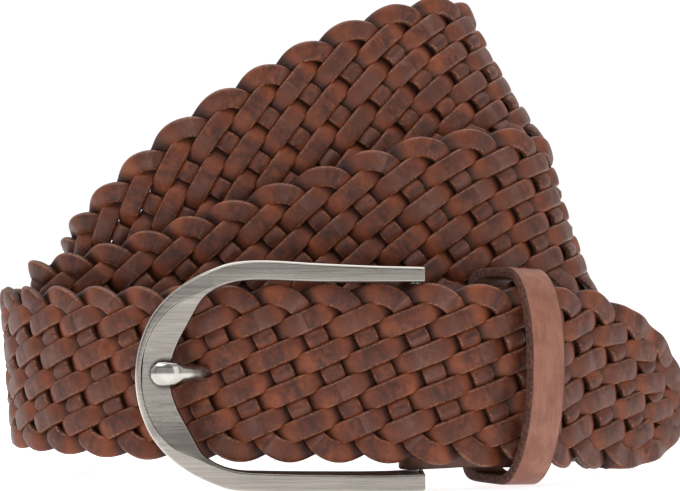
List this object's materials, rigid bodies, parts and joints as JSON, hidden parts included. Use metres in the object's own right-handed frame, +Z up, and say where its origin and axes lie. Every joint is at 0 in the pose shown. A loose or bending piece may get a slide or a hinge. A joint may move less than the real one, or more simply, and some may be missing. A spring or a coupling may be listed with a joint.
{
  "type": "belt",
  "caption": "Braided leather belt with a rounded metal buckle, fastened and wound into an open coil that stands on its edge and fans outward towards the top.",
  "frame": {"origin": "centre of the part's box at floor level, where the buckle's lower arm rests", "axes": "+Z up from the floor, -Y out of the buckle's face, +X from the buckle towards the keeper and the belt's tip"},
  "size_m": [0.1476, 0.1126, 0.1031],
  "materials": {
    "braid_leather": "waxed reddish brown leather strands with darker patches and rubbed edges",
    "chape_leather": "plain dark brown leather",
    "keeper_leather": "smooth reddish tan leather with a darker cut edge",
    "satin_nickel": "satin nickel plate, brushed along its length",
    "polished_nickel": "polished nickel plate"
  },
  "bodies": {
    "root": {"strap": "braid_leather", "buckle_frame": "satin_nickel", "prong": "polished_nickel", "chape": "chape_leather", "keeper": "keeper_leather"}
  },
  "joints": []
}
